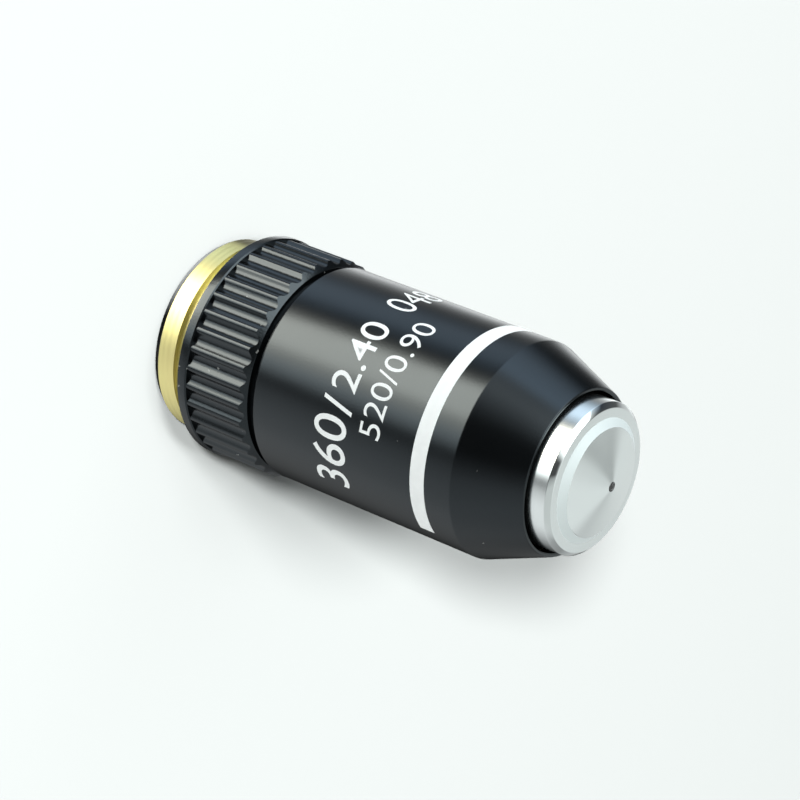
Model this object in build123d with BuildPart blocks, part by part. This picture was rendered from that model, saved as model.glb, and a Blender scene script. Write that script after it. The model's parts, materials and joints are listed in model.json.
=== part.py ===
from build123d import *
import math
import os

# Oil immersion microscope objective with a spring-loaded nose.
# Millimetres. +Z runs along the optical axis from the mounting thread to the front lens.
# The origin is the centre of the rear face of the thread, on which the objective stands.

# Mounting thread, shoulder and rear opening
thread_radius = 10.135
thread_length = 2.05
lead_drop = 0.585
lead_length = 0.9
relief_depth = 0.535
relief_length = 1.9
rear_wall = 1.25
rear_bore_depth = 8.0
rear_bore_step = 0.65

# Flange and fluted grip
flange_step = 0.55
flange_length = 0.95
flange_bevel = 0.13
grip_length = 7.65
grip_chamfer = 0.65
flute_count = 36
flute_depth = 0.4
flute_radius = 0.95

# Neck and spigot that carry the sleeve
neck_step = 0.8
neck_length = 0.8
spigot_wall = 1.85
spigot_length = 4.25

# Outer sleeve
sleeve_wall = 1.55
barrel_length = 24.5
cone_length = 6.63
mouth_length = 5.38
rim_wall = 0.36
nose_gap = 0.42
sleeve_edge = 0.15
mouth_edge = 0.1

# White band let into the sleeve, printed nearly all the way round; azimuths go from -Y towards +X
band_end_azimuth = 70.8
band_open_angle = 30.0
band_width = 1.7
band_to_cone = 3.05
band_groove_depth = 0.25
band_proud = 0.01

# Lens barrel that slides in the mount and carries the lenses
barrel_wall = 2.0
barrel_tip_wall = 1.1
guide_length = 9.0
stop_flange_length = 1.8
stop_flange_clearance = 0.1
nose_travel = 2.0

# Nose cap
nose_skirt = 0.99
nose_projection = 2.34
nose_chamfer = 0.48
nose_land = 0.96
boss_height = 0.6
boss_slope = 0.79
tip_height = 1.22
tip_rim_radius = 0.5
nose_wall = 2.2
clamp_gap = 0.2

# Spring of flat wire, its seat, and the shim that sets the focus height
shim_thickness = 0.2
spring_seat_thickness = 0.5
spring_wire_width = 1.2
spring_wire_height = 0.8
spring_coils = 6

# Guide screw that stops the nose from turning
guide_screw_radius = 0.55
guide_screw_end_gap = 0.4
key_groove_depth = 1.1

# Rear baffle and aperture stop
baffle_inset = 1.2
baffle_thickness = 1.4
baffle_width = 2.05
aperture_inset = 1.0
aperture_thickness = 1.0
aperture_width = 2.72

# Front lens, a ball with a flat face
front_ball_radius = 0.75
front_seat_depth = 1.15
front_passage_radius = 1.4

# Meniscus lens and its cell; each curve is given by its depth at the edge of the lens
meniscus_radius = 1.9
meniscus_hollow_depth = 0.56
meniscus_crown_depth = 0.83
meniscus_edge = 0.6
meniscus_cell_step = 1.52
meniscus_cell_depth = 1.4
meniscus_flange_length = 1.0

# Middle doublet and its cell
middle_front_depth = 1.2
middle_inner_depth = 1.53
middle_crown_edge = 1.3
middle_flint_edge = 2.4
middle_cell_length = 6.0
middle_cell_wall = 1.87

# Rear doublet and its cell
rear_front_depth = 1.09
rear_inner_depth = 1.48
rear_crown_edge = 1.0
rear_flint_edge = 2.3
rear_cell_length = 5.5
rear_cell_wall = 1.17

# Spacers and lock ring of the lens stack
spacer_wall = 0.8
front_spacer_length = 3.0
rear_spacer_length = 5.0
lock_ring_length = 1.8
lock_ring_wall = 1.4
spanner_slot_width = 1.0
spanner_slot_depth = 0.7

# Clearances
screwed_clearance = 0.05
sliding_clearance = 0.05
cell_clearance = 0.08
lens_clearance = 0.05
cement_gap = 0.02
stop_gap = 0.05
spring_gap = 0.02
lens_lip = 0.4
lens_lip_thickness = 0.6

# Radii, from the standard thread inwards to the lens barrel and out again to the sleeve
lead_radius = thread_radius - lead_drop
relief_radius = thread_radius - relief_depth
rear_bore_radius = lead_radius - rear_wall
guide_bore_radius = rear_bore_radius - rear_bore_step
barrel_outer_radius = guide_bore_radius - sliding_clearance
barrel_bore_radius = barrel_outer_radius - barrel_wall
cell_radius = barrel_bore_radius - cell_clearance
barrel_tip_radius = barrel_bore_radius + barrel_tip_wall
nose_radius = barrel_tip_radius + screwed_clearance + nose_skirt
mouth_radius = nose_radius + nose_gap
rim_radius = mouth_radius + rim_wall
spigot_radius = guide_bore_radius + spigot_wall
neck_radius = spigot_radius + neck_step
sleeve_bore_radius = spigot_radius + screwed_clearance
stop_flange_radius = sleeve_bore_radius - stop_flange_clearance
sleeve_radius = sleeve_bore_radius + sleeve_wall
flange_radius = sleeve_radius + flange_step
grip_radius = flange_radius - flange_bevel
groove_floor_radius = sleeve_radius - band_groove_depth
boss_radius = nose_radius - nose_chamfer - nose_land
tip_base_radius = boss_radius - boss_slope
front_seat_radius = front_ball_radius + lens_clearance
meniscus_cell_radius = cell_radius - meniscus_cell_step
middle_lens_radius = cell_radius - middle_cell_wall - lens_clearance
rear_lens_radius = cell_radius - rear_cell_wall - lens_clearance
aperture_radius = cell_radius - aperture_width
spring_radius = (barrel_outer_radius + sleeve_bore_radius) / 2

# Heights along the axis
shoulder_z = lead_length + thread_length + relief_length
flange_top_z = shoulder_z + flange_length
grip_top_z = flange_top_z + grip_length
sleeve_base_z = grip_top_z + neck_length
spigot_top_z = sleeve_base_z + spigot_length
guide_screw_z = sleeve_base_z + spigot_length / 2
cone_base_z = sleeve_base_z + barrel_length
mouth_z = cone_base_z + cone_length
stop_z = mouth_z - mouth_length
stop_flange_top_z = stop_z - shim_thickness - stop_gap
stop_flange_base_z = stop_flange_top_z - stop_flange_length
lens_barrel_base_z = spigot_top_z - guide_length
nose_face_z = mouth_z + nose_projection
boss_top_z = nose_face_z + boss_height
tip_z = boss_top_z + tip_height
nose_wall_z = nose_face_z - nose_wall
lens_barrel_top_z = nose_wall_z - clamp_gap
band_top_z = cone_base_z - band_to_cone
band_base_z = band_top_z - band_width


def curve_through(depth, half_height):
    return (depth**2 + half_height**2) / (2 * depth)


def depth_at(curve_radius, half_height):
    return curve_radius - math.sqrt(curve_radius**2 - half_height**2)


os.makedirs("parts", exist_ok=True)

# Mount body: thread, shoulder flange, fluted grip and spigot, turned from one bar.
# The flutes are round valleys joined by round crests, and the crest radius makes them tangent.
flute_half_angle = math.pi / flute_count
valley_centre = grip_radius - flute_depth + flute_radius
crest_overlap = valley_centre - grip_radius
crest_sweep = 1 - math.cos(flute_half_angle)
crest_radius = (crest_overlap**2 + 2 * valley_centre * grip_radius * crest_sweep - flute_radius**2) / (
    2 * (flute_radius - crest_overlap + valley_centre * crest_sweep)
)
crest_centre = grip_radius - crest_radius
with BuildPart() as mount_body:
    with BuildSketch(Plane.XY.offset(flange_top_z)):
        with BuildLine():
            for flute in range(flute_count):
                valley_angle = 2 * flute * flute_half_angle
                centre = Vector(valley_centre, 0).rotate(Axis.Z, math.degrees(valley_angle))
                crest_before = Vector(crest_centre, 0).rotate(
                    Axis.Z, math.degrees(valley_angle - flute_half_angle)
                )
                crest_after = Vector(crest_centre, 0).rotate(
                    Axis.Z, math.degrees(valley_angle + flute_half_angle)
                )
                valley_start = centre + (crest_before - centre).normalized() * flute_radius
                valley_end = centre + (crest_after - centre).normalized() * flute_radius
                next_centre = centre.rotate(Axis.Z, math.degrees(2 * flute_half_angle))
                next_start = next_centre + (crest_after - next_centre).normalized() * flute_radius
                valley_floor = centre.normalized() * (valley_centre - flute_radius)
                crest_top = crest_after.normalized() * grip_radius
                ThreePointArc(valley_start, valley_floor, valley_end)
                ThreePointArc(valley_end, crest_top, next_start)
        make_face()
    extrude(amount=grip_length)
    with BuildSketch(Plane.XZ):
        with BuildLine():
            Polyline(
                (grip_radius - grip_chamfer, grip_top_z),
                (grip_radius, grip_top_z - grip_chamfer),
                (flange_radius + flange_length, grip_top_z - grip_chamfer),
                (flange_radius + flange_length, grip_top_z + grip_chamfer),
                (grip_radius - grip_chamfer, grip_top_z + grip_chamfer),
                close=True,
            )
        make_face()
    revolve(axis=Axis.Z, mode=Mode.SUBTRACT)
    with BuildSketch(Plane.XZ):
        with BuildLine():
            Polyline(
                (0, 0),
                (lead_radius, 0),
                (thread_radius, lead_length),
                (thread_radius, lead_length + thread_length),
                (relief_radius, lead_length + thread_length),
                (relief_radius, shoulder_z),
                (flange_radius, shoulder_z),
                (flange_radius, flange_top_z),
                (grip_radius, flange_top_z + flange_bevel),
                (neck_radius, flange_top_z + flange_bevel),
                (neck_radius, sleeve_base_z),
                (spigot_radius, sleeve_base_z),
                (spigot_radius, spigot_top_z),
                (0, spigot_top_z),
                close=True,
            )
        make_face()
    revolve(axis=Axis.Z)
    with BuildSketch(Plane.XY):
        Circle(rear_bore_radius)
    extrude(amount=rear_bore_depth, mode=Mode.SUBTRACT)
    with BuildSketch(Plane.XY):
        Circle(guide_bore_radius)
    extrude(amount=spigot_top_z, mode=Mode.SUBTRACT)
    with BuildSketch(Plane.YZ):
        with Locations((0, guide_screw_z)):
            Circle(guide_screw_radius + lens_clearance)
    extrude(amount=spigot_radius + neck_length, mode=Mode.SUBTRACT)
mount_body.part.label = "mount_body"
export_step(mount_body.part, "parts/mount_body.step")

# Outer sleeve: straight barrel, cone and thin front rim, screwed on the spigot.
# The groove for the white band stops short of a full turn.
band_angle = 360 - band_open_angle
band_start_plane = Plane.XZ.rotated((0, 0, band_end_azimuth + band_open_angle - 90))
with BuildPart() as outer_sleeve:
    with BuildSketch(Plane.XZ):
        with BuildLine():
            Polyline(
                (sleeve_bore_radius, sleeve_base_z),
                (sleeve_radius - sleeve_edge, sleeve_base_z),
                (sleeve_radius, sleeve_base_z + sleeve_edge),
                (sleeve_radius, cone_base_z),
                (rim_radius, mouth_z),
                (mouth_radius + mouth_edge, mouth_z),
                (mouth_radius, mouth_z - mouth_edge),
                (mouth_radius, stop_z),
                (sleeve_bore_radius, stop_z),
                close=True,
            )
        make_face()
    revolve(axis=Axis.Z)
    with BuildSketch(band_start_plane):
        with Locations((sleeve_radius, (band_base_z + band_top_z) / 2)):
            Rectangle(2 * band_groove_depth, band_width)
    revolve(axis=Axis.Z, revolution_arc=band_angle, mode=Mode.SUBTRACT)
outer_sleeve.part.label = "outer_sleeve"
export_step(outer_sleeve.part, "parts/outer_sleeve.step")

# White band: enamel that fills the groove
with BuildPart() as white_band:
    with BuildSketch(band_start_plane):
        with Locations((groove_floor_radius + cement_gap, band_base_z)):
            Rectangle(
                band_groove_depth - cement_gap + band_proud, band_width, align=(Align.MIN, Align.MIN)
            )
    revolve(axis=Axis.Z, revolution_arc=band_angle)
white_band.part.label = "white_band"
export_step(white_band.part, "parts/white_band.step")

# Guide screw: grub screw through the spigot, its tip in the key groove of the lens barrel
guide_screw_tip = barrel_outer_radius - key_groove_depth + guide_screw_end_gap
with BuildPart() as guide_screw:
    with BuildSketch(Plane.YZ.offset(guide_screw_tip)):
        with Locations((0, guide_screw_z)):
            Circle(guide_screw_radius)
    extrude(amount=spigot_radius - guide_screw_tip)
    with BuildSketch(Plane.YZ.offset(spigot_radius)):
        with Locations((0, guide_screw_z)):
            Rectangle(guide_screw_radius * 3, guide_screw_radius / 2)
    extrude(amount=-guide_screw_radius, mode=Mode.SUBTRACT)
guide_screw.part.label = "guide_screw"
export_step(guide_screw.part, "parts/guide_screw.step")

# Baffle ring: blackened ring screwed into the rear bore, with two spanner slots
with BuildPart() as baffle_ring:
    with BuildSketch(Plane.XY.offset(baffle_inset)):
        Circle(rear_bore_radius - screwed_clearance)
        Circle(rear_bore_radius - screwed_clearance - baffle_width, mode=Mode.SUBTRACT)
    extrude(amount=baffle_thickness)
    with BuildSketch(Plane.XY.offset(baffle_inset)):
        Rectangle(2 * rear_bore_radius, spanner_slot_width)
    extrude(amount=spanner_slot_depth, mode=Mode.SUBTRACT)
baffle_ring.part.label = "baffle_ring"
export_step(baffle_ring.part, "parts/baffle_ring.step")

# Spring seat: washer on the end of the spigot
with BuildPart() as spring_seat:
    with BuildSketch(Plane.XY.offset(spigot_top_z)):
        Circle(sleeve_bore_radius - 2 * screwed_clearance)
        Circle(guide_bore_radius + 2 * screwed_clearance, mode=Mode.SUBTRACT)
    extrude(amount=spring_seat_thickness)
spring_seat.part.label = "spring_seat"
export_step(spring_seat.part, "parts/spring_seat.step")

# Return spring: flat wire helix with its two ends ground flat
spring_base_z = spigot_top_z + spring_seat_thickness
spring_length = stop_flange_base_z - spring_base_z
with BuildPart() as return_spring:
    with BuildLine():
        coil = Helix(
            pitch=spring_length / spring_coils,
            height=spring_length,
            radius=spring_radius,
            center=(0, 0, spring_base_z),
        )
    with BuildSketch(Plane(origin=coil @ 0, x_dir=(1, 0, 0), z_dir=coil % 0)):
        Rectangle(spring_wire_width, spring_wire_height)
    sweep(is_frenet=True)
    with BuildSketch(Plane.XY.offset(spring_base_z + spring_gap)):
        Circle(sleeve_bore_radius)
    extrude(amount=spring_length - 2 * spring_gap, mode=Mode.INTERSECT)
return_spring.part.label = "return_spring"
export_step(return_spring.part, "parts/return_spring.step")

# Parfocal shim: thin washer between the stop of the sleeve and the nose
with BuildPart() as parfocal_shim:
    with BuildSketch(Plane.XY.offset(stop_z - shim_thickness)):
        Circle(sleeve_bore_radius - 2 * screwed_clearance)
        Circle(mouth_radius + 2 * screwed_clearance, mode=Mode.SUBTRACT)
    extrude(amount=shim_thickness)
parfocal_shim.part.label = "parfocal_shim"
export_step(parfocal_shim.part, "parts/parfocal_shim.step")

# Lens barrel: tube with a stop flange in front and a key groove behind
with BuildPart() as lens_barrel:
    with BuildSketch(Plane.XZ):
        with BuildLine():
            Polyline(
                (barrel_bore_radius, lens_barrel_base_z),
                (barrel_outer_radius, lens_barrel_base_z),
                (barrel_outer_radius, stop_flange_base_z),
                (stop_flange_radius, stop_flange_base_z),
                (stop_flange_radius, stop_flange_top_z),
                (barrel_tip_radius, stop_flange_top_z),
                (barrel_tip_radius, lens_barrel_top_z),
                (barrel_bore_radius, lens_barrel_top_z),
                close=True,
            )
        make_face()
    revolve(axis=Axis.Z)
    key_half_width = guide_screw_radius + 2 * sliding_clearance
    with BuildSketch(Plane.YZ.offset(barrel_outer_radius - key_groove_depth)):
        with Locations((0, guide_screw_z + nose_travel / 2)):
            SlotCenterToCenter(nose_travel, 2 * key_half_width, rotation=90)
    extrude(amount=2 * key_groove_depth, mode=Mode.SUBTRACT)
lens_barrel.part.label = "lens_barrel"
export_step(lens_barrel.part, "parts/lens_barrel.step")

# Nose cap: polished front of the lens barrel, with a raised boss and a shallow cone to the lens
meniscus_cell_top_z = nose_wall_z + meniscus_cell_depth
with BuildPart() as nose_cap:
    with BuildSketch(Plane.XZ):
        with BuildLine():
            Polyline(
                (barrel_tip_radius + screwed_clearance, stop_flange_top_z),
                (nose_radius, stop_flange_top_z),
                (nose_radius, nose_face_z - nose_chamfer),
                (nose_radius - nose_chamfer, nose_face_z),
                (boss_radius, nose_face_z),
                (tip_base_radius, boss_top_z),
                (tip_rim_radius, tip_z),
                (front_seat_radius, tip_z - (front_seat_radius - tip_rim_radius)),
                (front_seat_radius, tip_z - front_seat_depth),
                (front_passage_radius, tip_z - front_seat_depth),
                (front_passage_radius, meniscus_cell_top_z),
                (meniscus_cell_radius + screwed_clearance, meniscus_cell_top_z),
                (meniscus_cell_radius + screwed_clearance, nose_wall_z),
                (barrel_tip_radius + screwed_clearance, nose_wall_z),
                close=True,
            )
        make_face()
    revolve(axis=Axis.Z)
nose_cap.part.label = "nose_cap"
export_step(nose_cap.part, "parts/nose_cap.step")

# Front lens: ball with a flat front face, set in the tip of the cap
front_flat_radius = tip_rim_radius - lens_clearance
front_ball_z = tip_z - math.sqrt(front_ball_radius**2 - front_flat_radius**2)
with BuildPart() as front_lens:
    with BuildSketch(Plane.XZ):
        with BuildLine():
            ThreePointArc(
                (0, front_ball_z - front_ball_radius),
                (front_ball_radius, front_ball_z),
                (front_flat_radius, tip_z),
            )
            Polyline(
                (front_flat_radius, tip_z),
                (0, tip_z),
                (0, front_ball_z - front_ball_radius),
            )
        make_face()
    revolve(axis=Axis.Z)
front_lens.part.label = "front_lens"
export_step(front_lens.part, "parts/front_lens.step")

# Meniscus cell: stepped ring that centres the second lens in the cap
meniscus_cell_base_z = nose_wall_z - meniscus_flange_length
meniscus_seat_z = meniscus_cell_top_z - lens_lip
with BuildPart() as meniscus_cell:
    with BuildSketch(Plane.XZ):
        with BuildLine():
            Polyline(
                (meniscus_radius + lens_clearance, meniscus_cell_base_z),
                (cell_radius, meniscus_cell_base_z),
                (cell_radius, nose_wall_z),
                (meniscus_cell_radius, nose_wall_z),
                (meniscus_cell_radius, meniscus_cell_top_z),
                (meniscus_radius - lens_lip / 2, meniscus_cell_top_z),
                (meniscus_radius - lens_lip / 2, meniscus_seat_z),
                (meniscus_radius + lens_clearance, meniscus_seat_z),
                close=True,
            )
        make_face()
    revolve(axis=Axis.Z)
meniscus_cell.part.label = "meniscus_cell"
export_step(meniscus_cell.part, "parts/meniscus_cell.step")

# Meniscus lens: hollow side towards the front lens
hollow_bottom_z = meniscus_seat_z - meniscus_hollow_depth
hollow_curve = curve_through(meniscus_hollow_depth, meniscus_radius)
crown_edge_z = meniscus_seat_z - meniscus_edge
crown_bottom_z = crown_edge_z - meniscus_crown_depth
crown_curve = curve_through(meniscus_crown_depth, meniscus_radius)
with BuildPart() as meniscus_lens:
    with BuildSketch(Plane.XZ):
        with BuildLine():
            Line((0, crown_bottom_z), (0, hollow_bottom_z))
            RadiusArc((0, hollow_bottom_z), (meniscus_radius, meniscus_seat_z), -hollow_curve)
            Line((meniscus_radius, meniscus_seat_z), (meniscus_radius, crown_edge_z))
            RadiusArc((meniscus_radius, crown_edge_z), (0, crown_bottom_z), crown_curve)
        make_face()
    revolve(axis=Axis.Z)
meniscus_lens.part.label = "meniscus_lens"
export_step(meniscus_lens.part, "parts/meniscus_lens.step")

# Front spacer: tube between the meniscus cell and the middle cell
middle_cell_top_z = meniscus_cell_base_z - front_spacer_length
with BuildPart() as front_spacer:
    with BuildSketch(Plane.XY.offset(middle_cell_top_z)):
        Circle(cell_radius)
        Circle(cell_radius - spacer_wall, mode=Mode.SUBTRACT)
    extrude(amount=front_spacer_length)
front_spacer.part.label = "front_spacer"
export_step(front_spacer.part, "parts/front_spacer.step")

# Middle cell: ring with a front lip that the middle doublet seats on
middle_cell_base_z = middle_cell_top_z - middle_cell_length
middle_seat_z = middle_cell_top_z - lens_lip_thickness
middle_lip_radius = middle_lens_radius - lens_lip
with BuildPart() as middle_cell:
    with BuildSketch(Plane.XY.offset(middle_cell_base_z)):
        Circle(cell_radius)
        Circle(middle_lip_radius, mode=Mode.SUBTRACT)
    extrude(amount=middle_cell_length)
    with BuildSketch(Plane.XY.offset(middle_cell_base_z)):
        Circle(middle_lens_radius + lens_clearance)
    extrude(amount=middle_seat_z - middle_cell_base_z, mode=Mode.SUBTRACT)
middle_cell.part.label = "middle_cell"
export_step(middle_cell.part, "parts/middle_cell.step")

# Middle crown: the lens of the middle doublet that is thick at its centre.
# Its front curve meets the inner edge of the lip, so its own edge lies a little behind the seat.
middle_front_curve = curve_through(middle_front_depth, middle_lens_radius)
middle_inner_curve = curve_through(middle_inner_depth, middle_lens_radius)
middle_edge_drop = middle_front_depth - depth_at(middle_front_curve, middle_lip_radius)
middle_edge_z = middle_seat_z - middle_edge_drop - cement_gap
middle_apex_z = middle_edge_z + middle_front_depth
middle_joint_z = middle_edge_z - middle_crown_edge
middle_joint_bottom_z = middle_joint_z - middle_inner_depth
with BuildPart() as middle_crown:
    with BuildSketch(Plane.XZ):
        with BuildLine():
            Line((0, middle_joint_bottom_z), (0, middle_apex_z))
            RadiusArc((0, middle_apex_z), (middle_lens_radius, middle_edge_z), middle_front_curve)
            Line((middle_lens_radius, middle_edge_z), (middle_lens_radius, middle_joint_z))
            RadiusArc((middle_lens_radius, middle_joint_z), (0, middle_joint_bottom_z), middle_inner_curve)
        make_face()
    revolve(axis=Axis.Z)
middle_crown.part.label = "middle_crown"
export_step(middle_crown.part, "parts/middle_crown.step")

# Middle flint: the hollow lens cemented behind the crown
middle_flint_top_z = middle_joint_z - cement_gap
middle_flint_base_z = middle_flint_top_z - middle_flint_edge
middle_flint_hollow_z = middle_joint_bottom_z - cement_gap
with BuildPart() as middle_flint:
    with BuildSketch(Plane.XZ):
        with BuildLine():
            RadiusArc(
                (0, middle_flint_hollow_z), (middle_lens_radius, middle_flint_top_z), -middle_inner_curve
            )
            Polyline(
                (middle_lens_radius, middle_flint_top_z),
                (middle_lens_radius, middle_flint_base_z),
                (0, middle_flint_base_z),
                (0, middle_flint_hollow_z),
            )
        make_face()
    revolve(axis=Axis.Z)
middle_flint.part.label = "middle_flint"
export_step(middle_flint.part, "parts/middle_flint.step")

# Rear spacer: tube between the middle cell and the rear cell
rear_cell_top_z = middle_cell_base_z - rear_spacer_length
with BuildPart() as rear_spacer:
    with BuildSketch(Plane.XY.offset(rear_cell_top_z)):
        Circle(cell_radius)
        Circle(cell_radius - spacer_wall, mode=Mode.SUBTRACT)
    extrude(amount=rear_spacer_length)
rear_spacer.part.label = "rear_spacer"
export_step(rear_spacer.part, "parts/rear_spacer.step")

# Rear cell: ring with a front lip that the rear doublet seats on
rear_cell_base_z = rear_cell_top_z - rear_cell_length
rear_seat_z = rear_cell_top_z - lens_lip_thickness
rear_lip_radius = rear_lens_radius - lens_lip
with BuildPart() as rear_cell:
    with BuildSketch(Plane.XY.offset(rear_cell_base_z)):
        Circle(cell_radius)
        Circle(rear_lip_radius, mode=Mode.SUBTRACT)
    extrude(amount=rear_cell_length)
    with BuildSketch(Plane.XY.offset(rear_cell_base_z)):
        Circle(rear_lens_radius + lens_clearance)
    extrude(amount=rear_seat_z - rear_cell_base_z, mode=Mode.SUBTRACT)
rear_cell.part.label = "rear_cell"
export_step(rear_cell.part, "parts/rear_cell.step")

# Rear crown: the lens of the rear doublet that is thick at its centre, seated like the middle one
rear_front_curve = curve_through(rear_front_depth, rear_lens_radius)
rear_inner_curve = curve_through(rear_inner_depth, rear_lens_radius)
rear_edge_drop = rear_front_depth - depth_at(rear_front_curve, rear_lip_radius)
rear_edge_z = rear_seat_z - rear_edge_drop - cement_gap
rear_apex_z = rear_edge_z + rear_front_depth
rear_joint_z = rear_edge_z - rear_crown_edge
rear_joint_bottom_z = rear_joint_z - rear_inner_depth
with BuildPart() as rear_crown:
    with BuildSketch(Plane.XZ):
        with BuildLine():
            Line((0, rear_joint_bottom_z), (0, rear_apex_z))
            RadiusArc((0, rear_apex_z), (rear_lens_radius, rear_edge_z), rear_front_curve)
            Line((rear_lens_radius, rear_edge_z), (rear_lens_radius, rear_joint_z))
            RadiusArc((rear_lens_radius, rear_joint_z), (0, rear_joint_bottom_z), rear_inner_curve)
        make_face()
    revolve(axis=Axis.Z)
rear_crown.part.label = "rear_crown"
export_step(rear_crown.part, "parts/rear_crown.step")

# Rear flint: the hollow lens cemented behind the crown
rear_flint_top_z = rear_joint_z - cement_gap
rear_flint_base_z = rear_flint_top_z - rear_flint_edge
rear_flint_hollow_z = rear_joint_bottom_z - cement_gap
with BuildPart() as rear_flint:
    with BuildSketch(Plane.XZ):
        with BuildLine():
            RadiusArc((0, rear_flint_hollow_z), (rear_lens_radius, rear_flint_top_z), -rear_inner_curve)
            Polyline(
                (rear_lens_radius, rear_flint_top_z),
                (rear_lens_radius, rear_flint_base_z),
                (0, rear_flint_base_z),
                (0, rear_flint_hollow_z),
            )
        make_face()
    revolve(axis=Axis.Z)
rear_flint.part.label = "rear_flint"
export_step(rear_flint.part, "parts/rear_flint.step")

# Lens lock ring: screwed in behind the rear cell, it clamps the whole stack
lock_ring_base_z = rear_cell_base_z - lock_ring_length
with BuildPart() as lens_lock_ring:
    with BuildSketch(Plane.XY.offset(lock_ring_base_z)):
        Circle(cell_radius)
        Circle(cell_radius - lock_ring_wall, mode=Mode.SUBTRACT)
    extrude(amount=lock_ring_length)
    with BuildSketch(Plane.XY.offset(lock_ring_base_z)):
        Rectangle(2 * barrel_bore_radius, spanner_slot_width)
    extrude(amount=spanner_slot_depth, mode=Mode.SUBTRACT)
lens_lock_ring.part.label = "lens_lock_ring"
export_step(lens_lock_ring.part, "parts/lens_lock_ring.step")

# Aperture stop: disc with the small hole that limits the light, near the rear end
aperture_z = lens_barrel_base_z + aperture_inset
with BuildPart() as aperture_stop:
    with BuildSketch(Plane.XY.offset(aperture_z)):
        Circle(cell_radius)
        Circle(aperture_radius, mode=Mode.SUBTRACT)
    extrude(amount=aperture_thickness)
aperture_stop.part.label = "aperture_stop"
export_step(aperture_stop.part, "parts/aperture_stop.step")
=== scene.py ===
import json
import math

import bmesh
import bpy
from bpy.props import (
    FloatProperty,
    FloatVectorProperty,
    IntProperty,
    PointerProperty,
    StringProperty,
)
from bpy.types import Operator, Panel, PropertyGroup
from mathutils import Matrix, Vector


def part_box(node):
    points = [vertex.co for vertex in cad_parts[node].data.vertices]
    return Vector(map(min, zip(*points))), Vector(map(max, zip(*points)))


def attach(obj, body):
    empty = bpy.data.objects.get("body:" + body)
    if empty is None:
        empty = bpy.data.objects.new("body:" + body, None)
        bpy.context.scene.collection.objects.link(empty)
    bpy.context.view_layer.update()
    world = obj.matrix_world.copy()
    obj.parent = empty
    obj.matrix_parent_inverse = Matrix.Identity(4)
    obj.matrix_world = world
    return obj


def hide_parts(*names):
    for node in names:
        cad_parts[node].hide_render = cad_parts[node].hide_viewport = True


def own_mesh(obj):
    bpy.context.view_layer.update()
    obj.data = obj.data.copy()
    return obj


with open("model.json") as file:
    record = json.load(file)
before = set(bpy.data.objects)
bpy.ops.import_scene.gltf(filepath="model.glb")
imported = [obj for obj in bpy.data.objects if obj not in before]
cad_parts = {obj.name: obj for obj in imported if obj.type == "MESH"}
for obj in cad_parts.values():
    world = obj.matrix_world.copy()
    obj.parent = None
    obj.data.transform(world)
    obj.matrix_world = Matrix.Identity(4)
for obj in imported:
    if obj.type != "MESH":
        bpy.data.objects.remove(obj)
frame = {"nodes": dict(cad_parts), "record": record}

bl_info = {
    "name": "Microscope Objective",
    "version": (1, 0, 0),
    "blender": (4, 5, 0),
    "location": "3D View > Sidebar > Objective",
    "description": "Dresses a microscope objective with enamel, thread, numbers and polished nose",
    "category": "Object",
}

MM = 0.001
WELD = 0.001 * MM
SHARP = math.radians(30)
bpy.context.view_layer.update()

THREAD_ROWS = 36

# Radii of the mount body
THREAD_RADIUS = 10.135 * MM
LEAD_RADIUS = 9.55 * MM
RELIEF_RADIUS = 9.6 * MM
REAR_BORE_RADIUS = 8.3 * MM
GUIDE_BORE_RADIUS = 7.65 * MM
SPIGOT_RADIUS = 9.5 * MM
NECK_RADIUS = 10.3 * MM
FLANGE_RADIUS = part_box("mount_body")[1].x
GRIP_RADIUS = 11.52 * MM
CHAMFER_RADIUS = 10.87 * MM

# Heights of the mount body
LEAD_TOP = 0.9 * MM
THREAD_TOP = 2.95 * MM
SHOULDER = 4.85 * MM
FLANGE_TOP = 5.8 * MM
FLUTE_FLOOR = 5.93 * MM
GRIP_TOP = 13.45 * MM
REAR_BORE_TOP = 8.0 * MM
SPIGOT_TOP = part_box("mount_body")[1].z

# Outer sleeve and white band
SLEEVE_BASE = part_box("outer_sleeve")[0].z
SLEEVE_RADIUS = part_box("outer_sleeve")[1].x
SLEEVE_BORE = 9.55 * MM
BAND_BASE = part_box("white_band")[0].z
BAND_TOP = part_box("white_band")[1].z
BAND_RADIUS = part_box("white_band")[1].y
BAND_END = 70.8
BAND_OPEN = 30.0
CONE_BASE = 38.75 * MM
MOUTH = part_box("outer_sleeve")[1].z
RIM_RADIUS = 8.52 * MM
MOUTH_RADIUS = 8.16 * MM
STOP = 40.0 * MM
PAINT_ROOT = 0.004 * MM

# Nose cap
NOSE_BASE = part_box("nose_cap")[0].z
NOSE_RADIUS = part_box("nose_cap")[1].x
NOSE_FACE = 47.72 * MM
NOSE_CHAMFER = 0.48 * MM
BOSS_RADIUS = 6.3 * MM
BOSS_TOP = 48.32 * MM
TIP_BASE_RADIUS = 5.51 * MM
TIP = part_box("nose_cap")[1].z
TIP_RIM_RADIUS = 0.5 * MM


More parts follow.
